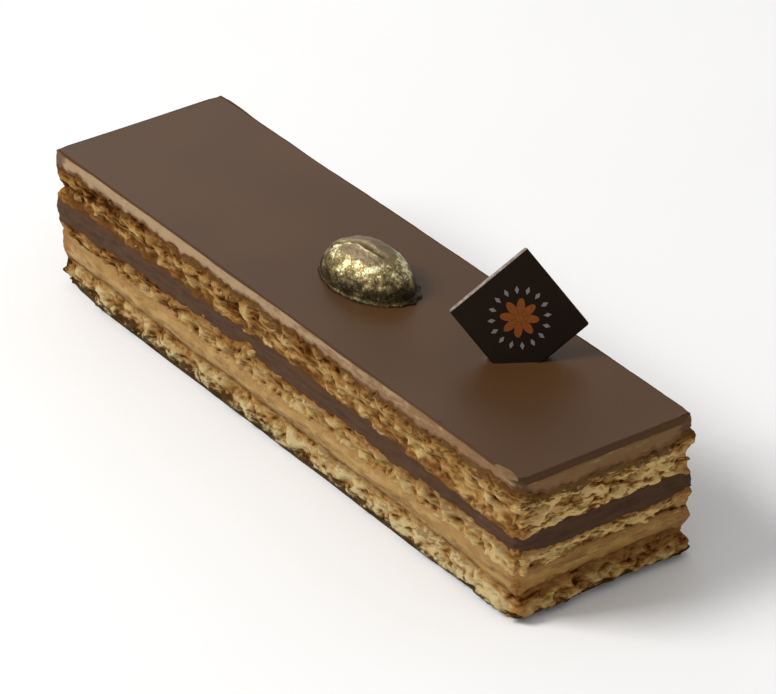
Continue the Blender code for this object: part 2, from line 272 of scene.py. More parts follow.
class CakeColours(bpy.types.PropertyGroup):
    """Colours of the cake's finishes, some of which also carry painted shade, reflections and highlights."""

    pale_crumb: colour_property("Pale crumb", "Fresh torn almond sponge", (0.45, 0.355, 0.178))
    bright_crumb: colour_property("Bright crumb", "Palest parts of the short ends", (0.68, 0.51, 0.25))
    caramel: colour_property("Caramel", "Syrup that has run to the upright corners", (0.25, 0.10, 0.024))
    syrup_crumb: colour_property("Syrup crumb", "Pale parts of the soaked sponges", (0.43, 0.31, 0.135))
    golden_crumb: colour_property("Golden crumb", "Sponge with coffee syrup", (0.28, 0.152, 0.047))
    brown_crumb: colour_property("Brown crumb", "Soaked or shaded sponge", (0.115, 0.046, 0.011))
    # The pore colour is painted shade at the bottoms of the holes, the darkest crumb where the wall falls
    # back
    pore_shade: colour_property("Pore", "Bottom of the holes in the sponge", (0.035, 0.012, 0.003))
    crust: colour_property("Crust", "Baked skin of the sponge", (0.080, 0.034, 0.010))
    # The darkest foot colour is partly baked crust and partly painted shadow at the foot
    burnt_crust_and_foot_shadow: colour_property("Burnt crust", "Darkest skin of the sponge, at its foot", (0.034, 0.018, 0.006))
    stain: colour_property("Stain", "Sponge stained by ganache and syrup", (0.15, 0.065, 0.018))
    cream: colour_property("Coffee cream", "Coffee buttercream", (0.315, 0.18, 0.05))
    cream_pale: colour_property("Pale cream", "The buttercream's lighter smears", (0.38, 0.238, 0.082))
    cream_top: colour_property("Top cream", "Buttercream under the glaze", (0.305, 0.203, 0.106))
    cream_brown: colour_property("Brown cream", "Buttercream dragged with crumb", (0.165, 0.08, 0.026))
    ganache: colour_property("Ganache", "Dark chocolate ganache", (0.058, 0.030, 0.0165))
    glaze: colour_property("Glaze", "Poured chocolate glaze", (0.070, 0.031, 0.0105))
    chocolate: colour_property("Chocolate", "Dark tempered chocolate", (0.0105, 0.0055, 0.0025))
    chocolate_edge: colour_property("Chocolate edge", "Cut edges of the plaque", (0.30, 0.24, 0.20))
    # Thick gold also fills the painted highlight band round the bean's sides
    gold: colour_property("Gold", "Edible gold dust where it lies thick", (0.86, 0.80, 0.46))
    gold_thin: colour_property("Thin gold", "Edible gold dust where it is worn", (0.28, 0.21, 0.092))
    # The crown's dull colour is partly a thin film of dust and partly a painted reflection of a dim sky
    crown_dust_and_reflection: colour_property("Worn gold", "Dull film of gold on the bean's crown", (0.235, 0.18, 0.115))
    print_orange: colour_property("Orange print", "Cocoa butter print", (0.23, 0.062, 0.007))
    print_pale: colour_property("Pale print", "Cocoa butter print", (0.22, 0.19, 0.165))


def sizes():
    return bpy.context.scene.cake_sizes


def colours():
    return bpy.context.scene.cake_colours


# Objects and edit mode


def deselect_all():
    if bpy.context.object and bpy.context.object.mode != "OBJECT":
        bpy.ops.object.mode_set(mode="OBJECT")
    bpy.ops.object.select_all(action="DESELECT")


def make_active(piece):
    deselect_all()
    piece.select_set(True)
    bpy.context.view_layer.objects.active = piece


def name_piece(name):
    piece = bpy.context.object
    piece.name = name
    piece.data.name = name
    return piece


def select_where(piece, rule, faces=False):
    """In edit mode, selects the edges by a rule on their two ends, or the faces by one on their normal."""
    mesh = bmesh.from_edit_mesh(piece.data)
    bpy.context.tool_settings.mesh_select_mode = (False, not faces, faces)
    for item in mesh.faces if faces else mesh.edges:
        item.select_set(rule(item.normal) if faces else rule(item.verts[0].co, item.verts[1].co))
    mesh.select_flush_mode()
    bmesh.update_edit_mesh(piece.data)


def face_outwards(merge=0.0):
    """Merges points of the active piece that are closer than this, and turns all its faces outwards."""
    bpy.ops.object.mode_set(mode="EDIT")
    bpy.ops.mesh.select_all(action="SELECT")
    if merge:
        bpy.ops.mesh.remove_doubles(threshold=merge)
    bpy.ops.mesh.normals_make_consistent(inside=False)
    bpy.ops.object.mode_set(mode="OBJECT")


def shade_smooth(piece):
    make_active(piece)
    bpy.ops.object.shade_smooth()


def apply_modifiers(piece):
    make_active(piece)
    for modifier in list(piece.modifiers):
        bpy.ops.object.modifier_apply(modifier=modifier.name)


def apply_transform(piece):
    make_active(piece)
    bpy.ops.object.transform_apply(location=True, rotation=True, scale=True)


def points_of(piece):
    points = np.empty(len(piece.data.vertices) * 3)
    piece.data.vertices.foreach_get("co", points)
    return points.reshape(-1, 3)


def move_points(piece, points):
    piece.data.vertices.foreach_set("co", points.ravel())
    piece.data.update()


def store(piece, name, values):
    """Keeps one number for each point, which a material reads by name."""
    attribute = piece.data.attributes.new(name, "FLOAT", "POINT")
    attribute.data.foreach_set("value", np.asarray(values, np.float32))


def noise_at(points, length, seed=0.0, squash=1.0):
    """Smooth noise from about -1 to 1 at each point, on waves of this length."""
    scaled = points / length
    scaled[:, 2] = scaled[:, 2] * squash + seed
    return np.array([noise.noise(Vector(point)) for point in scaled])


def drag_at(points):
    """How far the knife's long drags move each point in or out."""
    return DRAG_DEPTH * noise_at(points, DRAG_LENGTH, DRAG_SEED, DRAG_SQUASH)


def displace(piece, scale, strength, group="", stretch=1.0, tilt=0.0, mid_level=0.5, **kind):
    """Moves points along their normals by clouds, with scale and strength in millimetres, which a guide
    stretches along the layers and tilts by degrees."""
    clouds = bpy.data.textures.new("clouds", "CLOUDS")
    clouds.noise_scale = scale * MM
    for name, value in kind.items():
        setattr(clouds, name, value)
    guide = bpy.data.objects.new("guide", None)
    bpy.context.scene.collection.objects.link(guide)
    guide.scale = (stretch, stretch, 1.0)
    guide.rotation_euler.y = math.radians(tilt)
    modifier = piece.modifiers.new("Relief", "DISPLACE")
    modifier.texture = clouds
    modifier.texture_coords = "OBJECT"
    modifier.texture_coords_object = guide
    modifier.strength = strength * MM
    modifier.mid_level = mid_level
    modifier.vertex_group = group
    bpy.context.view_layer.update()
    apply_modifiers(piece)
    bpy.data.objects.remove(guide)
    bpy.data.textures.remove(clouds)


def finish_piece(piece, nodes, finish):
    piece.data.materials.clear()
    piece.data.materials.append(finish)
    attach(piece, BODY)
    if nodes:
        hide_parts(*nodes)


# The cut walls


def smooth_step(t):
    t = np.clip(t, 0.0, 1.0)
    return t * t * (3.0 - 2.0 * t)


def face_heights(face, points):
    """Height of the face between two layers above or below each point of the wall."""
    far, middle, near, end, _ = FACE_HEIGHTS[face]
    if face == "underside":
        return np.zeros(len(points))
    flat = points * FLAT
    t = flat[:, 0] / HALF_LENGTH
    along_side = middle + (np.where(t > 0, near, far) - middle) * t * t
    at_end = smooth_step(1.0 - (HALF_LENGTH - np.abs(flat[:, 0])) / END_BLEND)
    from_corner = HALF_WIDTH - np.abs(flat[:, 1])
    blend, wave_height = (GLAZE_BLEND, GLAZE_WAVE) if face == "glaze bottom" else (CORNER_BLEND, WAVE_HEIGHT)
    height = along_side + (end - along_side) * at_end * smooth_step(from_corner / blend)
    if face == "ganache bottom":
        place, reach, rise = TORN_PATCH
        height += rise * np.exp(-(((flat[:, 0] - place) / reach) ** 2)) * (flat[:, 1] < 0)
    number = list(FACE_HEIGHTS).index(face)
    wave = noise_at(flat, WAVE_LENGTH, 2 * number)
    ripple = noise_at(flat, CRUMB_LENGTH, 2 * number + 1)
    jag = noise_at(flat, JAG_LENGTH, 2 * number + 30)
    return height + wave_height * (wave + RIPPLE_SHARE * ripple) + FACE_JAGS[face] * jag


def profile_at(profile, heights):
    """Interpolates a profile of the wall with smooth bends."""
    known = np.array(profile)
    index = np.clip(np.searchsorted(known[:, 0], heights) - 1, 0, len(known) - 2)
    low, high = known[index], known[index + 1]
    t = smooth_step((heights - low[:, 0]) / (high[:, 0] - low[:, 0]))
    return low[:, 1] + (high[:, 1] - low[:, 1]) * t


def wall_profile(points, heights):
    """How far the wall stands out at each height, which is different at the far end."""
    plain = profile_at(WALL_PROFILE, heights)
    share = smooth_step((-points[:, 0] - FAR_START) / FAR_BLEND)
    return plain + (profile_at(FAR_PROFILE, heights) - plain) * share


def corner_shares(points):
    """How far each point of the wall is into the rounding towards a short end, and towards a long side."""
    at_end = np.clip(1.0 - (HALF_LENGTH - np.abs(points[:, 0])) / CORNER_ROUND, 0.0, 1.0)
    at_side = np.clip(1.0 - (HALF_WIDTH - np.abs(points[:, 1])) / CORNER_ROUND, 0.0, 1.0)
    return at_end, at_side


def outward(points):
    """The direction in which each point of the wall stands out, rounded at the corners."""
    at_end, at_side = corner_shares(points)
    direction = np.zeros_like(points)
    direction[:, 0] = np.sign(points[:, 0]) * at_end * (1.0 - (1.0 - CORNER_PULL) * at_side)
    direction[:, 1] = np.sign(points[:, 1]) * at_side * (1.0 - (1.0 - CORNER_PULL) * at_end)
    return direction


def fillet(points):
    """How far each point of the wall moves inwards to round the upright corner nearest to the camera."""
    at_end, at_side = corner_shares(points)
    is_near = (points[:, 0] > 0) & (points[:, 1] < 0)
    depth = FILLET_SHARE * CORNER_ROUND * (at_end * at_side) ** 2 * is_near
    return np.column_stack((-depth, depth, 0.0 * depth))


def foot_fill(points, heights):
    """The long sides stand nearly upright on their foot, where the ends are undercut."""
    on_side = smooth_step((HALF_LENGTH - np.abs(points[:, 0])) / CORNER_BLEND)
    return SIDE_FOOT_FILL * on_side * (1.0 - smooth_step(heights / SIDE_FOOT_HEIGHT))


def dabs(points, levels, seed, count, radii, height, level_range, stretch):
    """Sum of lumps, or of pits where height is negative, at random places round the walls."""
    rng = np.random.default_rng(seed)
    total = np.zeros(len(points))
    share_of_sides = LENGTH / (LENGTH + WIDTH)
    for _ in range(count):
        on_side = rng.random() < share_of_sides
        sign = 1.0 if rng.random() < 0.5 else -1.0
        place = rng.uniform(-1.0, 1.0)
        level = rng.uniform(*level_range)
        radius = rng.uniform(*radii)
        strength = height * rng.uniform(0.5, 1.0)
        lean = rng.uniform(-0.5, 0.5)
        if on_side:
            near = np.abs(points[:, 1] - sign * HALF_WIDTH) < TOUCH
            along = points[:, 0] - place * HALF_LENGTH
        else:
            near = np.abs(points[:, 0] - sign * HALF_LENGTH) < TOUCH
            along = points[:, 1] - place * HALF_WIDTH
        near &= np.abs(along) < 3 * stretch * radius  # beyond this a dab is next to nothing
        middle = np.interp(level, (0, 1), levels)
        up = points[near, 2] - middle - lean * along[near]
        spread = (along[near] / (stretch * radius)) ** 2 + (up / radius) ** 2
        total[near] += strength * np.exp(-(spread**1.5))
    return total


def is_on_wall(points):
    return np.abs(np.abs(points[:, :2]) - (HALF_LENGTH, HALF_WIDTH)).min(axis=1) < TOUCH


def subdivide_along(piece, axis, segments):
    """Cuts the edges along one axis into this many segments, in steps that the operator allows."""
    while segments > 1:
        step = next((n for n in range(50, 1, -1) if segments % n == 0), segments)
        select_where(piece, lambda a, b: (abs((a - b)[axis]) > 0.9 * (a - b).length > 0.0))
        bpy.ops.mesh.subdivide(number_cuts=step - 1)
        segments //= step


def even_count(length, step):
    """A number of segments that splits evenly into steps of up to fifty."""
    return 10 * max(1, round(length / step / 10)) if length > 20 * step else max(2, round(length / step))


def open_block(name, low, high, is_open, counts):
    """In edit mode, a box without the faces that the rule opens, cut into this many parts along each axis."""
    deselect_all()
    bpy.ops.mesh.primitive_cube_add(size=1.0, location=(0.0, 0.0, (low + high) / 2))
    piece = name_piece(name)
    piece.scale = (LENGTH, WIDTH, high - low)
    apply_transform(piece)
    bpy.ops.object.mode_set(mode="EDIT")
    select_where(piece, is_open, faces=True)
    bpy.ops.mesh.delete(type="ONLY_FACE")
    for axis, segments in enumerate(counts):
        subdivide_along(piece, axis, segments)
    return piece


def close_rim(piece, level):
    """Fills the open rim at this height with one face."""
    select_where(piece, lambda a, b: max(abs(a.z - level), abs(b.z - level)) < TOUCH)
    bpy.ops.mesh.edge_face_add()


def wall_block(name, low, high, row_step):
    """A box with finely divided walls, and each cap one face inside a ring."""
    step = sizes().mesh_step
    counts = (even_count(LENGTH, step), even_count(WIDTH, step), max(2, round((high - low) / row_step)))
    piece = open_block(name, low, high, lambda normal: abs(normal.z) > 0.5, counts)
    close_rim(piece, low)
    close_rim(piece, high)
    select_where(piece, lambda normal: abs(normal.z) > 0.5, faces=True)
    bpy.ops.mesh.inset(thickness=CAP_RING, use_individual=True)
    bpy.ops.object.mode_set(mode="OBJECT")

    # Inset points cross near the corners, so the inner rings are brought back within four corners
    points = points_of(piece)
    reach = np.array((HALF_LENGTH - CAP_RING, HALF_WIDTH - CAP_RING))
    inner = ~is_on_wall(points)
    points[inner, :2] = np.clip(points[inner, :2], -reach, reach)
    move_points(piece, points)
    face_outwards(MERGE)
    return piece


def grid_block(name, low, high):
    """A box whose top is a fine grid, over rows fine enough to round its edge."""
    piece = open_block(name, low, high, lambda normal: normal.z < -0.5, GLAZE_COUNTS)
    close_rim(piece, low)
    face_outwards()
    return piece


def shape_layer(piece, bottom, top, roughness, extra):
    """Bends a plain block to the layer's two faces and its cut wall, and returns its wall's weights."""
    points = points_of(piece)
    low, high = points[:, 2].min(), points[:, 2].max()
    levels = (points[:, 2] - low) / (high - low)
    on_wall = is_on_wall(points)
    wall = points[on_wall]
    bottoms = face_heights(bottom, wall)
    tops = face_heights(top, wall)
    lift = 0.0 if bottom == "underside" else TUCK
    heights = bottoms - lift + levels[on_wall] * (tops - bottoms + lift + TUCK)
    heights = np.minimum(heights, TOP - TUCK)
    shaped = points.copy()
    below, above = FACE_HEIGHTS[bottom][-1] - CAP_OVERLAP, FACE_HEIGHTS[top][-1] + CAP_OVERLAP
    shaped[:, 2] = np.where(levels > 0.5, above, max(below, 0.0))
    placed = wall.copy()
    placed[:, 2] = heights
    torn = CRUMB_DEPTH * noise_at(placed, CRUMB_LENGTH, squash=CRUMB_SQUASH)
    rim = RIM_SHARE + (1.0 - RIM_SHARE) * np.sin(np.pi * levels[on_wall]) ** 0.5
    extras = np.clip(extra(wall, (low, high)), -DEEPEST_HOLE, TALLEST_LUMP)
    rim = rim * (1.0 - FOOT_CALM * (1.0 - smooth_step(heights / SIDE_FOOT_HEIGHT)))
    carved = np.maximum((roughness * torn + extras) * rim, -DEEPEST_CUT)
    offset = wall_profile(wall, heights) + foot_fill(wall, heights) + carved + drag_at(placed)
    offset = np.minimum(offset, PROUDEST)
    shaped[on_wall] = placed + fillet(wall) + outward(wall) * offset[:, None]
    move_points(piece, shaped)

    weights = np.zeros(len(points))
    weights[on_wall] = rim
    # A vertex group takes one weight for many points at a time, so the weights go in hundredths
    group = piece.vertex_groups.new(name="wall")
    for share in np.unique(np.round(weights, 2)):
        members = np.nonzero(np.abs(weights - share) < 0.006)[0]
        group.add([int(i) for i in members], float(share), "REPLACE")
    store(piece, "level", levels)
    relief = np.zeros(len(points))
    relief[on_wall] = extras + TORN_SHARE * torn
    return relief, on_wall


def keep_relief(piece, before, relief, on_wall):
    """Stores how far each point of the wall stands out, in millimetres, for the materials, which paint shade
    where it falls back and a highlight where it stands out.
    """
    points = points_of(piece)
    flat = points * FLAT
    reach = np.maximum(np.abs(flat[:, 0]) / HALF_LENGTH, np.abs(flat[:, 1]) / HALF_WIDTH)
    direction = outward(np.column_stack((flat[:, :2] / reach[:, None].clip(0.5), flat[:, 2])))
    moved = ((points - before) * direction).sum(axis=1)
    store(piece, "relief", np.where(on_wall, np.clip(relief + moved, *RELIEF_RANGE), 0.0) / MM)


def inside_cad(piece):
    """Keeps the fine relief within the solids' box."""
    move_points(piece, np.clip(points_of(piece), np.array(CAD_BOX[0]), np.array(CAD_BOX[1])))


def layer(name, bottom, top, row_step, roughness, extra, clouds):
    """A layer between two faces: its block, its cut wall, and its clouds of fine relief."""
    piece = wall_block(name, FACE_HEIGHTS[bottom][-1], FACE_HEIGHTS[top][-1], row_step)
    relief, on_wall = shape_layer(piece, bottom, top, roughness, extra)
    before = points_of(piece)
    for scale, strength, stretch, tilt, mid_level, kind in clouds:
        displace(piece, scale, strength, "wall", stretch, tilt, mid_level, **kind)
    inside_cad(piece)
    keep_relief(piece, before, relief, on_wall)
    shade_smooth(piece)
    return piece


def sponge(name, bottom, top, seed):
    """A torn sponge, with lumps, pores, and a row of more pores near its foot."""
    size = sizes()
    dab_kinds = (
        (280, (0.3 * MM, 0.7 * MM), size.lump_height, (0.05, 0.95), 2.6),
        (750, (0.12 * MM, 0.3 * MM), -size.pore_depth, (0.05, 0.95), 1.8),
        (150, (0.15 * MM, 0.32 * MM), -size.pore_depth, (0.08, 0.24), 1.8),
    )

    def lumps_and_pores(wall, levels):
        return sum(dabs(wall, levels, seed + number, *kind) for number, kind in enumerate(dab_kinds))

    return layer(name, bottom, top, SPONGE_ROW, 1.0, lumps_and_pores, SPONGE_CLOUDS)


def cream_layer(name, bottom, top, streak_depth):
    """A spread layer, with long streaks of this depth in millimetres, ripples and a few nicks."""

    def nicks(wall, levels):
        return dabs(wall, levels, NICK_SEED, 40, (0.2 * MM, 0.5 * MM), -0.2 * MM, (0.1, 0.9), 3.0)

    clouds = (
        (0.8, streak_depth, 9.0, 3, 0.5, {"noise_depth": 2}),
        (1.2, 0.5 * streak_depth, 2.0, 0, 0.5, {"noise_depth": 1}),
    )
    return layer(name, bottom, top, CREAM_ROW, CREAM_ROUGHNESS, nicks, clouds)


# Materials


def link(tree, socket, value):
    """Gives a socket its value: another socket, a number or a colour."""
    if isinstance(value, bpy.types.NodeSocket):
        tree.links.new(value, socket)
    elif hasattr(socket.default_value, "__len__") and len(socket.default_value) == 4:
        socket.default_value = (*value[:3], 1.0)
    else:
        socket.default_value = value


def node(tree, kind, inputs=None, **settings):
    made = tree.nodes.new("ShaderNode" + kind)
    for name, value in settings.items():
        setattr(made, name, value)
    for name, value in (inputs or {}).items():
        link(tree, made.inputs[name], value)
    return made


def dress(tree, inputs):
    """Gives sockets of the material's shader their values."""
    for name, value in inputs.items():
        link(tree, tree.nodes["Principled BSDF"].inputs[name], value)


def new_material(name, roughness, specular):
    finish = bpy.data.materials.new(name)
    finish.use_nodes = True
    dress(finish.node_tree, {"Roughness": roughness, "Specular IOR Level": specular})
    return finish, finish.node_tree


def object_points(tree, stretch=(1.0, 1.0, 1.0), tilt=0.0):
    """Object coordinates in millimetres, stretched, and tilted along the slice by degrees."""
    inputs = {
        "Vector": node(tree, "TexCoord").outputs["Object"],
        "Scale": tuple(factor / MM for factor in stretch),
        "Rotation": (0.0, math.radians(tilt), 0.0),
    }
    return node(tree, "Mapping", inputs).outputs["Vector"]


def pattern(tree, stretch=(1.0, 1.0, 1.0), tilt=0.0, scale=1.0, detail=2.0, roughness=0.5):
    """Noise on those coordinates."""
    points = object_points(tree, stretch, tilt)
    inputs = {"Vector": points, "Scale": scale, "Detail": detail, "Roughness": roughness}
    return node(tree, "TexNoise", inputs).outputs["Fac"]


def attribute_node(tree, name):
    return node(tree, "Attribute", attribute_name=name).outputs["Fac"]


def maths(tree, operation, a, b=0.0, clamp=False):
    return node(tree, "Math", {0: a, 1: b}, operation=operation, use_clamp=clamp).outputs[0]


def times(tree, a, b):
    return maths(tree, "MULTIPLY", a, b)


def ranged(tree, value, from_low, from_high, to_low=0.0, to_high=1.0):
    """Maps one range of a value to another, smoothly and within its ends."""
    limits = {"From Min": from_low, "From Max": from_high, "To Min": to_low, "To Max": to_high}
    made = node(tree, "MapRange", {"Value": value, **limits}, interpolation_type="SMOOTHSTEP")
    return made.outputs["Result"]


def mixed(tree, share, first, second, blend="MIX"):
    """A mix of two colours, whose sockets a mix node has at these numbers."""
    return node(tree, "Mix", {0: share, 6: first, 7: second}, data_type="RGBA", blend_type=blend).outputs[2]


def ramp(tree, value, stops):
    made = node(tree, "ValToRGB", {"Fac": value})
    elements = made.color_ramp.elements
    while len(elements) < len(stops):
        elements.new(0.5)
    for element, (position, colour) in zip(elements, stops):
        element.position = position
        element.color = (*colour[:3], 1.0)
    return made.outputs["Color"]


def bump(tree, height, strength, distance, normal=None):
    """A bump with its distance in millimetres."""
    inputs = {"Height": height, "Strength": strength, "Distance": distance * MM}
    if normal:
        inputs["Normal"] = normal
    return node(tree, "Bump", inputs).outputs["Normal"]


def added(tree, first, *others):
    """Sum of sockets or numbers."""
    for other in others:
        first = maths(tree, "ADD", first, other)
    return first


def centred(tree, *parts):
    """Sum of patterns, each about zero and times its share."""
    return added(tree, *(times(tree, maths(tree, "SUBTRACT", part, 0.5), share) for part, share in parts))


def shade(tint, factor):
    return tuple(min(1.0, factor * channel) for channel in tint)


def place_in_slice(tree):
    """From -1 to 1 along the slice, how much of a point is on a short end, and how near it is to a corner."""
    parts = node(tree, "SeparateXYZ", {"Vector": node(tree, "TexCoord").outputs["Object"]})
    along = maths(tree, "DIVIDE", parts.outputs["X"], HALF_LENGTH)
    ahead, aside = (maths(tree, "ABSOLUTE", parts.outputs[axis]) for axis in "XY")
    at_end = ranged(tree, ahead, HALF_LENGTH - END_REACH, HALF_LENGTH - FULL_REACH)
    near_end = ranged(tree, ahead, HALF_LENGTH - CORNER_STAIN, HALF_LENGTH - FULL_REACH)
    near_side = ranged(tree, aside, HALF_WIDTH - CORNER_STAIN, HALF_WIDTH - FULL_REACH)
    return along, at_end, times(tree, near_end, near_side)


def sponge_material(
    name, pale, paleness, slope=0.0, ends=(0.0, 0.0), edges=(0.0, 0.0), crusts=(0.0, 0.0), stains=(0.0, 0.0)
):
    """Torn sponge: darker where its wall falls back and paler where it stands out, which is painted shade in
    the pores and a painted highlight on the lumps, with baked skins, the darkest at the bottom sponge's foot
    being partly painted shadow, and stains by share of the layer.

    slope is how much paler the sponge gets along the slice, ends how much paler and how much more streaked it
    is at the short ends, where a share below zero darkens them, which on the bottom sponge is painted shade,
    edges how much paler towards the layer's bottom and top, and crusts and stains are each the share of the
    layer at its bottom and at its top."""
    end_gain, end_streaks = ends
    finish, tree = new_material(name, 0.9, 0.0)
    tint = colours()
    relief, level = attribute_node(tree, "relief"), attribute_node(tree, "level")
    along, at_end, at_corner = place_in_slice(tree)
    patches = pattern(tree, (0.17, 0.17, 0.7), 7, detail=3.0)
    streaks = pattern(tree, (0.5, 0.5, 2.0), 10)
    specks = pattern(tree, (0.7, 0.7, 1.2), scale=1.7, roughness=0.6)
    # The relief term makes the wall darker where it falls back and paler where it stands out: painted shade
    # in the pores and painted highlights on the lumps
    tone = added(
        tree,
        times(tree, relief, 0.95),
        centred(tree, (patches, 1.7), (streaks, 1.0), (specks, 0.5)),
        times(tree, along, slope),
        # At the short ends the tone shifts by the end share; the bottom sponge's share below zero darkens its
        # ends as painted shade
        times(tree, at_end, added(tree, centred(tree, (streaks, end_streaks)), end_gain)),
        ranged(tree, level, 0.1, 0.5, edges[0], 0.0),
        ranged(tree, level, 0.55, 0.95, 0.0, edges[1]),
    )
    tone = maths(tree, "ADD", tone, paleness, clamp=True)
    crumb = ramp(tree, tone, (
        (0.0, tint.pore_shade), (0.22, tint.brown_crumb), (0.56, tint.golden_crumb), (1.0, pale)
    ))
    fresh = times(tree, at_end, ranged(tree, tone, 0.55, 1.1, 0.0, 0.42 * end_streaks))
    crumb = mixed(tree, fresh, crumb, tint.bright_crumb)
    blots = added(tree, patches, centred(tree, (streaks, 0.8), (specks, 0.5)))
    soaked = times(tree, at_corner, ranged(tree, blots, 0.42, 0.62, 0.0, 0.75))
    crumb = mixed(tree, soaked, crumb, tint.caramel)
    jagged = centred(tree, (patches, 0.7), (streaks, 0.8), (specks, 0.5))
    rough_level = added(tree, level, jagged, times(tree, at_end, 0.04), times(tree, along, 0.06))
    # At the bottom sponge's foot the dark skin is partly baked crust and partly painted shadow
    for lower_tint, upper_tint, (below, above), most in (
        (tint.stain, tint.stain, stains, 0.65),
        (tint.burnt_crust_and_foot_shadow, tint.crust, crusts, 0.9),
    ):
        if below:
            crumb = mixed(tree, ranged(tree, rough_level, below, 0.5 * below, 0.0, most), crumb, lower_tint)
        if above:
            over = ranged(tree, rough_level, 1.0 - above, 1.0 - 0.3 * above, 0.0, most)
            crumb = mixed(tree, over, crumb, upper_tint)
    fine = pattern(tree, scale=5.0, detail=3.0, roughness=0.6)
    base = mixed(tree, at_end, crumb, END_WARMTH, "MULTIPLY")
    dress(tree, {"Base Color": base, "Normal": bump(tree, fine, 0.4, 0.12)})
    return finish


def cream_material(name, plain, pale, roughness, smears, slope, end_browning, edges, corner):
    """Spread buttercream with long faint streaks, brown smears of crumb dragged over it, and a painted
    highlight where its wall stands out.

    smears is how much crumb, slope how much browner it gets along the slice, end_browning how much browner it
    is at the short ends, edges the shares of the layer at its bottom and top that are stained, and corner the
    colour that it turns near the upright corners, with how much of it there is."""
    finish, tree = new_material(name, roughness, 0.2)
    tint = colours()
    relief, level = attribute_node(tree, "relief"), attribute_node(tree, "level")
    along, at_end, at_corner = place_in_slice(tree)
    streaks = pattern(tree, (0.1, 0.1, 1.1), 3, detail=4.0, roughness=0.6)
    drags = pattern(tree, (0.3, 0.3, 1.1), 20, detail=3.0, roughness=0.6)
    specks = pattern(tree, (0.8, 0.8, 1.6), roughness=0.6)
    # The relief term makes the cream paler where its wall stands out: a painted highlight on the ridges
    share = added(tree, streaks, times(tree, relief, 0.6))
    tone = mixed(tree, ranged(tree, share, 0.38, 0.66), plain, pale)
    brown = added(
        tree,
        centred(tree, (drags, 2.4), (specks, 1.2)),
        times(tree, along, slope),
        times(tree, at_end, added(tree, centred(tree, (streaks, 3.0)), end_browning)),
        smears - 0.5,
    )
    tone = mixed(tree, ranged(tree, brown, -0.2, 0.55, 0.0, 0.85), tone, tint.cream_brown)
    jagged = added(tree, level, centred(tree, (drags, 0.6), (specks, 0.3)))
    below, above = edges
    if below:
        tone = mixed(tree, ranged(tree, jagged, below, 0.2 * below, 0.0, 0.85), tone, tint.brown_crumb)
    if above:
        over = ranged(tree, jagged, 1.0 - above, 1.0 - 0.2 * above, 0.0, 0.8)
        tone = mixed(tree, over, tone, tint.golden_crumb)
    run, most = corner
    soaked = ranged(tree, added(tree, at_corner, centred(tree, (drags, 1.2))), 0.45, 0.9, 0.0, most)
    tone = mixed(tree, soaked, tone, run)
    fine = pattern(tree, (0.5, 0.5, 2.5), 0.0, 2.0, 4.0, 0.6)
    dress(tree, {
        "Base Color": mixed(tree, at_end, tone, END_WARMTH, "MULTIPLY"),
        "Subsurface Weight": 0.1,
        "Subsurface Radius": (1.0, 0.6, 0.3),
        "Subsurface Scale": 0.5 * MM,
        "Normal": bump(tree, fine, 0.35, 0.12),
    })
    return finish


def ganache_material(name):
    """Ganache with knife streaks, stained by crumb towards both its edges."""
    finish, tree = new_material(name, 0.6, 0.04)
    tint = colours()
    streaks = pattern(tree, (0.2, 0.2, 1.2), 4, detail=4.0, roughness=0.6)
    drags = pattern(tree, (0.4, 0.4, 0.9), 24, detail=3.0, roughness=0.6)
    tone = mixed(tree, ranged(tree, streaks, 0.35, 0.65), tint.ganache, shade(tint.ganache, 1.35))
    level = attribute_node(tree, "level")
    from_middle = maths(tree, "ABSOLUTE", maths(tree, "SUBTRACT", level, 0.5))
    stained = added(tree, from_middle, centred(tree, (drags, 0.7)))
    tone = mixed(tree, ranged(tree, stained, 0.3, 0.55, 0.0, 0.6), tone, tint.crust)
    fine = pattern(tree, (0.5, 0.5, 2.0), 0.0, 2.2, 3.0, 0.6)
    dress(tree, {"Base Color": tone, "Normal": bump(tree, fine, 0.4, 0.15)})
    return finish


def glaze_material(name):
    """Satin glaze: an even brown with faint clouds, duller on its cut edge."""
    finish, tree = new_material(name, 0.38, 0.26)
    tint = colours().glaze
    clouds = pattern(tree, (0.05, 0.05, 0.05), detail=1.0)
    edge = attribute_node(tree, "edge")
    dress(tree, {
        "Base Color": mixed(tree, ranged(tree, clouds, 0.3, 0.7), tint, shade(tint, 1.15)),
        "Roughness": ranged(tree, edge, 0.0, 0.6, 0.38, 0.9),
    })
    return finish


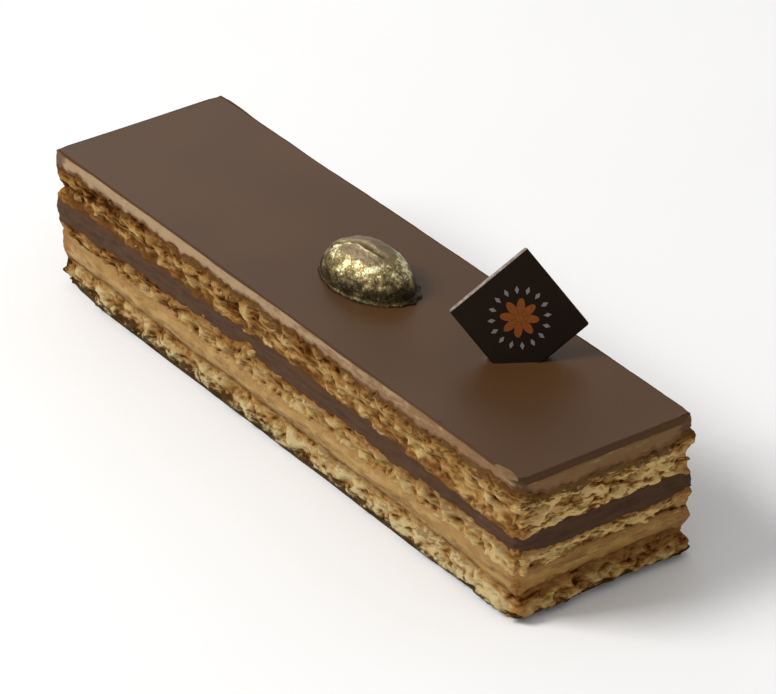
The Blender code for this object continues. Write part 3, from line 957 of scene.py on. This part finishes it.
def gilded_material(name):
    """Gold dust on dark chocolate: thick in a band round the sides, which is a painted highlight, dull on the
    crown, partly a thin film and partly a painted reflection, dark low down as a painted reflection of the
    glaze, with painted shade in the groove and a painted highlight on its lip.
    """
    finish, tree = new_material(name, 0.35, 0.1)
    tint = colours()
    patches = pattern(tree, (0.5, 0.5, 0.8), detail=4.0, roughness=0.65)
    flakes = pattern(tree, scale=2.6, detail=3.0, roughness=0.7)
    dust = pattern(tree, scale=7.0, detail=3.0, roughness=0.7)
    up = node(tree, "SeparateXYZ", {"Vector": object_points(tree)}).outputs["Z"]
    up = maths(tree, "SUBTRACT", up, TOP / MM)
    foot = ranged(tree, up, 0.3, 0.6, -0.12, 0.0)
    # Less gold low on the bean, so that its lower part is dark: a painted reflection of the dark glaze
    dimmed = ranged(tree, up, 1.6, 4.0, -0.34, 0.05)
    crown = ranged(tree, up, 4.9, 5.7)
    # More thick gold in a band round the sides under the crown: a painted highlight
    highlight_band = ranged(tree, crown, 0.0, 1.0, 0.22, 0.0)
    uneven = centred(tree, (patches, 1.6), (flakes, 1.0), (dust, 0.4))
    uneven = times(tree, uneven, ranged(tree, crown, 0.0, 1.0, 1.0, 0.35))
    # The groove attribute paints shade in the groove and a highlight along its near lip
    groove_shade_and_lip_highlight = attribute_node(tree, "groove")
    cover = added(tree, uneven, groove_shade_and_lip_highlight, dimmed, foot, 0.5)
    dark, bare_and_groove_shade = shade(tint.gold_thin, 0.12), shade(tint.gold_thin, 0.3)
    gilt = ramp(tree, cover, ((0.0, dark), (0.25, bare_and_groove_shade), (0.5, tint.gold_thin), (1.0, tint.gold_thin)))
    # A dull crown: partly a thin film of dust and partly a painted reflection of a dim sky
    gilt = mixed(tree, times(tree, crown, 0.8), gilt, tint.crown_dust_and_reflection)
    gilt = mixed(tree, ranged(tree, groove_shade_and_lip_highlight, -0.05, -0.3), gilt, bare_and_groove_shade)
    # No thick gold low on the bean either, part of the same painted reflection
    low_reflection_dimming = ranged(tree, up, 1.2, 0.6, 0.0, -0.4)
    # Thick gold goes on the random thick patches and on the painted highlight band, and is kept off the lower
    # part
    thick = ranged(tree, added(tree, cover, highlight_band, low_reflection_dimming), 0.74, 0.95)
    dress(tree, {
        "Base Color": mixed(tree, thick, gilt, tint.gold),
        "Metallic": ranged(tree, cover, 0.2, 0.5, 0.72, 0.8),
        "Roughness": added(tree, ranged(tree, dust, 0.3, 0.7, 0.28, 0.44), times(tree, crown, 0.16)),
        "Normal": bump(tree, dust, 0.5, 0.1, bump(tree, flakes, 0.5, 0.25)),
    })
    return finish


def chocolate_material(name):
    """Tempered chocolate, smooth and nearly black."""
    finish, tree = new_material(name, 0.4, 0.08)
    tint = colours().chocolate
    clouds = pattern(tree, (0.3, 0.3, 0.3), detail=3.0)
    base = mixed(tree, clouds, tint, shade(tint, 1.4))
    dress(tree, {"Base Color": base, "Normal": bump(tree, clouds, 0.1, 0.05)})
    return finish


def cut_edge_material(name):
    """The plaque's cut edges, dusty and paler than its face."""
    finish, tree = new_material(name, 0.6, 0.3)
    tint = colours().chocolate_edge
    dust = pattern(tree, scale=1.2, detail=3.0, roughness=0.6)
    base = mixed(tree, ranged(tree, dust, 0.35, 0.65), shade(tint, 0.45), tint)
    dress(tree, {"Base Color": base, "Normal": bump(tree, dust, 0.3, 0.1)})
    return finish


def print_material(name, tint):
    """Cocoa butter print, worn in small specks."""
    finish, tree = new_material(name, 0.5, 0.15)
    grain = pattern(tree, scale=3.5, detail=3.0, roughness=0.7)
    dress(tree, {"Base Color": mixed(tree, ranged(tree, grain, 0.3, 0.65), shade(tint, 0.75), tint)})
    return finish


def smear_material(name):
    """Thin buttercream with crumb in it."""
    finish, tree = new_material(name, 0.6, 0.1)
    tint = colours()
    streaks = pattern(tree, (0.6, 2.0, 1.0), detail=3.0)
    dull = shade(tint.cream_top, 0.6)
    dress(tree, {"Base Color": mixed(tree, ranged(tree, streaks, 0.35, 0.65), dull, tint.cream_brown)})
    return finish


def floor_material(name):
    finish, tree = new_material(name, 0.9, 0.1)
    grain = pattern(tree, scale=0.02)
    dress(tree, {"Base Color": mixed(tree, grain, (0.9, 0.9, 0.9), (0.93, 0.93, 0.93))})
    return finish


# The operators, one for each piece or group of like pieces


class CAKE_OT_sponges(bpy.types.Operator):
    """Three torn almond sponges with their baked skins"""

    bl_idname = "cake.sponges"
    bl_label = "Sponges"

    def execute(self, context):
        fresh, syrup = colours().pale_crumb, colours().syrup_crumb
        for name, bottom, top, seed, look in (
            # The bottom sponge's end share below zero darkens its short ends: painted shade
            ("sponge_bottom", "underside", "bottom sponge top", 11,
             (fresh, 0.78, 0.12, (-0.46, 0.4), (0.0, -0.15), (0.56, 0.0), (0.0, 0.14))),
            ("sponge_middle", "coffee cream top", "ganache bottom", 21,
             (syrup, 0.63, 0.2, (0.04, 1.7), (0.05, -0.1), (0.0, 0.0), (0.0, 0.25))),
            ("sponge_top", "ganache top", "top sponge top", 31,
             (syrup, 0.49, 0.22, (0.22, 1.7), (-0.14, 0.0), (0.0, 0.26), (0.22, 0.0))),
        ):
            piece = sponge("torn_" + name, bottom, top, seed)
            finish_piece(piece, [name], sponge_material("almond_" + name, *look))
        return {"FINISHED"}


class CAKE_OT_creams(bpy.types.Operator):
    """The two coffee buttercreams, spread smooth and dragged by the knife"""

    bl_idname = "cake.creams"
    bl_label = "Buttercreams"

    def execute(self, context):
        tint = colours()
        for name, bottom, top, streak_depth, look in (
            ("buttercream_middle", "bottom sponge top", "coffee cream top", 0.35,
             ("coffee_cream", tint.cream, tint.cream_pale, 0.6, 0.43, 0.0, 0.02, (0.2, 0.3),
              (tint.caramel, 0.6))),
            ("buttercream_top", "top sponge top", "glaze bottom", 0.22,
             ("top_cream", tint.cream_top, tint.cream_top, 0.5, 0.38, 0.7, 0.3, (0.34, 0.0),
              (tint.crust, 0.85))),
        ):
            piece = cream_layer("spread_" + name, bottom, top, streak_depth)
            finish_piece(piece, [name], cream_material(*look))
        return {"FINISHED"}


class CAKE_OT_ganache(bpy.types.Operator):
    """The ganache between the middle and the top sponge"""

    bl_idname = "cake.ganache"
    bl_label = "Ganache"

    def execute(self, context):
        piece = cream_layer("spread_ganache", "ganache bottom", "ganache top", 0.3)
        finish_piece(piece, ["ganache"], ganache_material("dark_ganache"))
        return {"FINISHED"}


class CAKE_OT_glaze(bpy.types.Operator):
    """The poured glaze, level on top with soft edges"""

    bl_idname = "cake.glaze"
    bl_label = "Glaze"

    def execute(self, context):
        low = FACE_HEIGHTS["glaze bottom"][-1]
        piece = grid_block("poured_glaze", low, TOP)
        points = points_of(piece)
        levels = (points[:, 2] - low) / (TOP - low)
        on_wall = is_on_wall(points)
        shaped = points.copy()
        shaped[:, 2] = np.where(levels > 0.5, TOP, low)
        shaped[on_wall] = self.cut_edge(points[on_wall], levels[on_wall])
        top = (levels > 0.5) & ~on_wall
        flat = points[top] * FLAT
        from_edge = np.minimum(HALF_LENGTH - np.abs(flat[:, 0]), HALF_WIDTH - np.abs(flat[:, 1]))
        swell = SWELL_DEPTH * (noise_at(flat, SWELL_LENGTH, 7.0) - 1.0)
        shaped[top, 2] += swell * smooth_step(from_edge / SWELL_BLEND) + self.slot_rim(flat)
        move_points(piece, shaped)
        store(piece, "edge", on_wall)
        inside_cad(piece)
        shade_smooth(piece)
        finish_piece(piece, ["glaze"], glaze_material("satin_glaze"))
        return {"FINISHED"}

    def cut_edge(self, wall, levels):
        """The glaze's wall, which lies over the layers' walls and is rounded at its top edge."""
        bottoms = face_heights("glaze bottom", wall)
        placed = wall.copy()
        placed[:, 2] = bottoms + levels * (TOP - bottoms)
        level_top = placed * FLAT + (0.0, 0.0, TOP)
        waver = GLAZE_WAVER * drag_at(level_top) + wall_profile(level_top, level_top[:, 2])
        edge = np.minimum(GLAZE_ROUND, TOP - bottoms)
        above = np.maximum(0.0, placed[:, 2] - TOP + edge)
        rounding = edge - np.sqrt(np.maximum(0.0, edge**2 - above**2))
        direction = outward(wall)
        blunt = GLAZE_BLUNT * np.abs(direction[:, :2]).min(axis=1)
        return placed + direction * (GLAZE_LIP + waver - rounding - blunt)[:, None]

    def slot_rim(self, flat):
        """Height of the rim round the plaque's slot at each point of the top."""
        in_plaque = np.array(Matrix.Rotation(-PLAQUE_TURN, 3, "Z"))
        local = (flat - np.array(PLAQUE_FOOT) * FLAT) @ in_plaque.T
        from_middle = np.abs(local[:, :2] - (0.0, SLOT_MIDDLE))
        away = np.hypot(*np.maximum(from_middle - SLOT_HALF_SIZES, 0.0).T)
        return SLOT_RIM * np.exp(-((away / SLOT_RIM_WIDTH) ** 2))


class CAKE_OT_smear(bpy.types.Operator):
    """A smear of buttercream that the knife left on the glaze's near edge"""

    bl_idname = "cake.smear"
    bl_label = "Cream smear"

    def execute(self, context):
        deselect_all()
        bpy.ops.mesh.primitive_uv_sphere_add(segments=96, ring_count=32, radius=1.0)
        piece = name_piece("cream_smear")
        points = points_of(piece)
        uneven = 1.0 + 0.3 * noise_at(points * np.array((1.0, 1.0, 0.2)), 1.1, 3.0)
        points *= uneven[:, None] * np.array(SMEAR_HALF_SIZES)
        move_points(piece, points)
        piece.location = SMEAR_PLACE
        piece.rotation_euler = SMEAR_TURN
        apply_transform(piece)
        bpy.ops.object.shade_smooth()
        finish_piece(piece, [], smear_material("smeared_cream"))
        return {"FINISHED"}


class CAKE_OT_coffee_bean(bpy.types.Operator):
    """The gilded chocolate coffee bean on its thin cast foot"""

    bl_idname = "cake.coffee_bean"
    bl_label = "Coffee bean"

    def execute(self, context):
        deselect_all()
        bpy.ops.mesh.primitive_uv_sphere_add(
            segments=96, ring_count=64, radius=1.0, rotation=(0.0, math.radians(90), 0.0)
        )
        piece = name_piece("gilded_coffee_bean")
        apply_transform(piece)
        piece.scale = BEAN_HALF_SIZES
        apply_transform(piece)
        points = points_of(piece)
        press, lip = groove(points)
        points[:, 2] = np.maximum(points[:, 2] + MM * (0.3 * lip - 0.9 * press), 0.0)
        move_points(piece, points)

        deselect_all()
        bpy.ops.mesh.primitive_cylinder_add(vertices=96, radius=1.0, depth=1.0, location=(0.0, 0.0, 0.5))
        foot = name_piece("bean_foot")
        apply_transform(foot)
        rim = points_of(foot)
        angle = np.arctan2(rim[:, 1], rim[:, 0])
        around = np.column_stack((np.cos(angle), np.sin(angle), 0.0 * angle))
        uneven = 1.0 + 0.6 * noise_at(around, 0.5, 1.5)
        flash = np.clip(np.cos(angle - BEAN_FLASH_TURN), 0.0, 1.0) ** 6
        flakes = 0.7 + 0.3 * np.sin(17.0 * angle)
        taper = np.where(rim[:, 2] > 0.5, 0.6, 1.0)
        reach = BEAN_FOOT_REACH * uneven * taper + BEAN_FLASH_REACH * flash * flakes
        rim[:, :2] = around[:, :2] * (np.array(BEAN_HALF_SIZES)[:2] + reach[:, None])
        rim[:, 2] *= BEAN_FOOT_HEIGHT
        move_points(foot, rim)

        make_active(piece)
        foot.select_set(True)
        bpy.ops.object.join()
        cast = piece.modifiers.new("Cast", "REMESH")
        cast.mode = "VOXEL"
        cast.voxel_size = BEAN_VOXEL
        soften = piece.modifiers.new("Soften", "SMOOTH")
        soften.factor = 0.5
        soften.iterations = 3
        apply_modifiers(piece)
        displace(piece, 2.5, 0.35, noise_depth=1)
        displace(piece, 0.7, 0.16, noise_depth=2)
        points = points_of(piece)
        points[:, 2] = np.maximum(points[:, 2], 0.0)
        move_points(piece, points)
        press, lip = groove(points)
        # Painted shade in the groove and a painted highlight on its lip, for the gold material
        store(piece, "groove", 0.42 * lip - 0.4 * press)
        piece.location = BEAN_PLACE
        piece.rotation_euler.z = BEAN_TURN
        apply_transform(piece)
        bpy.ops.object.shade_smooth()
        finish_piece(piece, ["coffee_bean"], gilded_material("gold_dust"))
        return {"FINISHED"}


def groove(points):
    """How much of the bean's groove, and of the lip along its near side, is at each point of the bean."""
    ahead = points[:, 0] / BEAN_HALF_SIZES.x
    across = points[:, 1] / BEAN_HALF_SIZES.y + 0.08 - 0.2 * ahead + 0.03 * np.sin(8.0 * ahead)
    fade = np.sqrt(np.clip(1.0 - ((ahead + 0.08) / 0.55) ** 2, 0.0, 1.0)) * (points[:, 2] > 0.0)
    return fade * np.exp(-((across / 0.09) ** 2)), fade * np.exp(-(((across + 0.14) / 0.06) ** 2))


def plaque_frame():
    """The plaque's own frame: X across its face, Y through it to the back and Z up its face."""
    upright = Matrix.Rotation(PLAQUE_TURN, 4, "Z") @ Matrix.Rotation(-PLAQUE_LEAN, 4, "X")
    corner = PLAQUE_FOOT - upright.to_3x3() @ Vector((0.0, 0.0, PLAQUE_CORNER_DEPTH))
    return Matrix.Translation(corner) @ upright @ Matrix.Rotation(-PLAQUE_ROLL, 4, "Y")


class CAKE_OT_plaque(bpy.types.Operator):
    """The square chocolate plaque on its corner, with a rosette in cocoa butter"""

    bl_idname = "cake.plaque"
    bl_label = "Plaque"

    def execute(self, context):
        side = sizes().plaque_side
        thickness = sizes().plaque_thickness
        middle = Vector((0.0, 0.0, side / math.sqrt(2)))
        deselect_all()
        bpy.ops.mesh.primitive_cube_add(size=1.0, location=middle + Vector((0.0, thickness / 2, 0.0)))
        piece = name_piece("square_plaque")
        piece.scale = (side, thickness, side)
        bpy.ops.object.transform_apply(location=False, rotation=False, scale=True)
        piece.rotation_euler.y = math.radians(45)
        apply_transform(piece)
        bevel = piece.modifiers.new("Edge", "BEVEL")
        bevel.width = PLAQUE_BEVEL
        bevel.segments = 3
        apply_modifiers(piece)
        piece.data.transform(plaque_frame())
        bpy.ops.object.mode_set(mode="EDIT")
        bpy.ops.mesh.select_all(action="SELECT")
        bpy.ops.mesh.bisect(
            plane_co=(0.0, 0.0, FACE_HEIGHTS["glaze bottom"][-1] + PLAQUE_LIFT),
            plane_no=(0.0, 0.0, 1.0),
            use_fill=True,
            clear_inner=True,
        )
        bpy.ops.object.mode_set(mode="OBJECT")
        inside_cad(piece)
        bpy.ops.object.shade_smooth_by_angle(angle=math.radians(40))
        finish_piece(piece, ["plaque"], chocolate_material("tempered_chocolate"))
        piece.data.materials.append(cut_edge_material("cut_edge"))
        turned = plaque_frame().to_3x3()
        edge_way = (turned.col[2] - turned.col[0]).normalized()
        for face in piece.data.polygons:
            face.material_index = 1 if face.normal.dot(edge_way) > 0.35 else 0
        tint = colours()
        petals = self.ring(middle, 8, 0.0, 1.7 * MM, (0.6 * MM, 1.2 * MM), 20)
        heart = self.flat_shape(middle, (0.55 * MM, 0.55 * MM), 0.0, 20)
        self.printed("rosette_print", [*petals, heart], tint.print_orange)
        diamonds = self.ring(middle, 16, 0.5, 4.1 * MM, (0.32 * MM, 0.6 * MM), 4)
        self.printed("diamond_print", diamonds, tint.print_pale)
        return {"FINISHED"}

    def printed(self, name, shapes, tint):
        """Joins flat shapes into one print that lies on the plaque's face."""
        deselect_all()
        for shape in shapes:
            shape.select_set(True)
        bpy.context.view_layer.objects.active = shapes[0]
        bpy.ops.object.join()
        piece = name_piece(name)
        skin = piece.modifiers.new("Skin", "SOLIDIFY")
        skin.thickness = PRINT_THICKNESS
        skin.offset = 0.0
        apply_modifiers(piece)
        piece.data.transform(plaque_frame())
        piece.data.update()
        face_outwards()
        finish_piece(piece, [], print_material(name + "_colour", tint))

    def flat_shape(self, place, half_sizes, turn, sides):
        """One filled shape on the plaque's face, its long way turned from straight up."""
        bpy.ops.mesh.primitive_circle_add(
            vertices=sides, radius=1.0, fill_type="NGON", rotation=(math.radians(90), 0.0, 0.0)
        )
        shape = bpy.context.object
        apply_transform(shape)
        shape.scale = (half_sizes[0], 1.0, half_sizes[1])
        apply_transform(shape)
        shape.rotation_euler.y = turn
        shape.location = place
        apply_transform(shape)
        return shape

    def ring(self, middle, count, start, distance, half_sizes, sides):
        """Like shapes in a ring round the middle of the face, each turned outwards."""
        shapes = []
        for number in range(count):
            turn = 2 * math.pi * (number + start) / count
            offset = Vector((math.sin(turn), 0.0, math.cos(turn))) * distance
            shapes.append(self.flat_shape(middle + offset, half_sizes, turn, sides))
        return shapes


class CAKE_OT_crumbs(bpy.types.Operator):
    """Loose crumbs that cling to the cut sides"""

    bl_idname = "cake.crumbs"
    bl_label = "Crumbs"

    def execute(self, context):
        rng = np.random.default_rng(CRUMB_SEED)
        deselect_all()
        bpy.ops.mesh.primitive_ico_sphere_add(subdivisions=3, radius=1.0)
        crumbs = bpy.context.object
        mesh = bmesh.new()
        unit = [vertex.co.copy() for vertex in crumbs.data.vertices]
        faces = [tuple(polygon.vertices) for polygon in crumbs.data.polygons]
        torn = [(tuple(in_metres(lump[:3])), lump[3] * MM, LUMP_SINK) for lump in TORN_LUMPS]
        loose = [(*self.place_on_wall(rng), CRUMB_SINK) for _ in range(sizes().crumb_count)]
        for place, radius, sink in torn + loose:
            turn = Matrix.Rotation(rng.uniform(0, 2 * math.pi), 4, Vector(rng.uniform(-1, 1, 3)).normalized())
            squash = Matrix.Diagonal((*rng.uniform(0.6, 1.2, 3), 1.0))
            shift = Vector(rng.uniform(0, 50, 3))
            middle = Vector(self.on_wall(np.array([place]), sink * radius))
            corners = []
            for point in unit:
                lumps = 0.5 * noise.noise(point * 1.3 + shift) + 0.2 * noise.noise(point * 4 + shift)
                lumpy = point * (1.0 + lumps)
                corners.append(mesh.verts.new(middle + (turn @ squash @ lumpy) * radius))
            for face in faces:
                mesh.faces.new([corners[i] for i in face])
        mesh.to_mesh(crumbs.data)
        mesh.free()
        piece = name_piece("clinging_crumbs")
        inside_cad(piece)
        for name, value in (("relief", 0.2), ("level", 0.5)):
            store(piece, name, np.full(len(piece.data.vertices), value))
        shade_smooth(piece)
        finish_piece(piece, [], sponge_material("loose_crumb", colours().syrup_crumb, 0.4))
        return {"FINISHED"}

    def place_on_wall(self, rng):
        """The place and radius of a small crumb somewhere on a cut wall."""
        sign = 1.0 if rng.random() < 0.5 else -1.0
        level = rng.uniform(*CRUMB_LEVELS[rng.integers(3)])
        if rng.random() < 0.75:
            place = (rng.uniform(-1, 1) * HALF_LENGTH, sign * HALF_WIDTH, level)
        else:
            place = (sign * HALF_LENGTH, rng.uniform(-1, 1) * HALF_WIDTH, level)
        return place, rng.uniform(0.15, 0.4) * MM

    def on_wall(self, point, sink):
        """Moves a place on the plain box to the wall's own surface, less the sink."""
        offset = min(wall_profile(point, point[:, 2])[0] + drag_at(point)[0], PROUDEST) - sink
        return (point + fillet(point) + outward(point) * offset)[0]


class CAKE_OT_stage(bpy.types.Operator):
    """A pale floor, soft light and the camera"""

    bl_idname = "cake.stage"
    bl_label = "Stage"

    def execute(self, context):
        deselect_all()
        bpy.ops.mesh.primitive_plane_add(size=FLOOR_SIZE, location=(0.0, 0.0, 0.0))
        floor = name_piece("floor")
        floor.data.materials.append(floor_material("pale_floor"))

        world = bpy.data.worlds.new("studio")
        bpy.context.scene.world = world
        world.use_nodes = True
        background = world.node_tree.nodes["Background"]
        background.inputs["Color"].default_value = (1.0, 1.0, 1.0, 1.0)
        background.inputs["Strength"].default_value = WORLD_LIGHT
        self.lamp("key", (-0.45, -0.72, 0.8), 0.5, 12.0, (1.0, 0.99, 0.97))
        self.lamp("back", (-1.1, 0.45, 0.55), 0.6, 0.8, (1.0, 0.98, 0.95))
        self.camera()
        bpy.context.scene.view_settings.view_transform = "Standard"
        return {"FINISHED"}

    def lamp(self, name, place, size, power, tint):
        data = bpy.data.lights.new(name, "AREA")
        data.size = size
        data.energy = power
        data.color = tint
        lamp = bpy.data.objects.new(name, data)
        bpy.context.scene.collection.objects.link(lamp)
        lamp.location = place
        lamp.rotation_euler = Vector(place).to_track_quat("Z", "Y").to_euler()

    def camera(self):
        data = bpy.data.cameras.new("camera")
        data.lens = CAMERA_LENS
        data.sensor_width = CAMERA_SENSOR
        camera = bpy.data.objects.new("camera", data)
        bpy.context.scene.collection.objects.link(camera)
        turn = Matrix.Rotation(CAMERA_AZIMUTH, 4, "Z")
        tip = Matrix.Rotation(math.radians(90) - CAMERA_ELEVATION, 4, "X")
        offset = Matrix.Translation((CAMERA_RIGHT, CAMERA_UP, CAMERA_DISTANCE))
        camera.matrix_world = turn @ tip @ offset
        bpy.context.scene.camera = camera


class CAKE_PT_panel(bpy.types.Panel):
    """Lists the pieces and what can be changed"""

    bl_label = "Opera cake"
    bl_idname = "CAKE_PT_panel"
    bl_space_type = "VIEW_3D"
    bl_region_type = "UI"
    bl_category = "Opera cake"

    def draw(self, context):
        for operator in OPERATORS:
            self.layout.operator(operator.bl_idname)
        for group in (context.scene.cake_sizes, context.scene.cake_colours):
            for name in group.bl_rna.properties.keys():
                if name not in ("rna_type", "name"):
                    self.layout.prop(group, name)


OPERATORS = (
    CAKE_OT_sponges,
    CAKE_OT_creams,
    CAKE_OT_ganache,
    CAKE_OT_glaze,
    CAKE_OT_smear,
    CAKE_OT_coffee_bean,
    CAKE_OT_plaque,
    CAKE_OT_crumbs,
    CAKE_OT_stage,
)
CLASSES = (CakeSizes, CakeColours, *OPERATORS, CAKE_PT_panel)


def register():
    for item in CLASSES:
        bpy.utils.register_class(item)
    bpy.types.Scene.cake_sizes = PointerProperty(type=CakeSizes)
    bpy.types.Scene.cake_colours = PointerProperty(type=CakeColours)


def unregister():
    del bpy.types.Scene.cake_colours
    del bpy.types.Scene.cake_sizes
    for item in reversed(CLASSES):
        bpy.utils.unregister_class(item)


def main():
    register()
    bpy.ops.cake.sponges()
    bpy.ops.cake.creams()
    bpy.ops.cake.ganache()
    bpy.ops.cake.glaze()
    bpy.ops.cake.smear()
    bpy.ops.cake.coffee_bean()
    bpy.ops.cake.plaque()
    bpy.ops.cake.crumbs()
    bpy.ops.cake.stage()


if __name__ == "__main__":
    main()
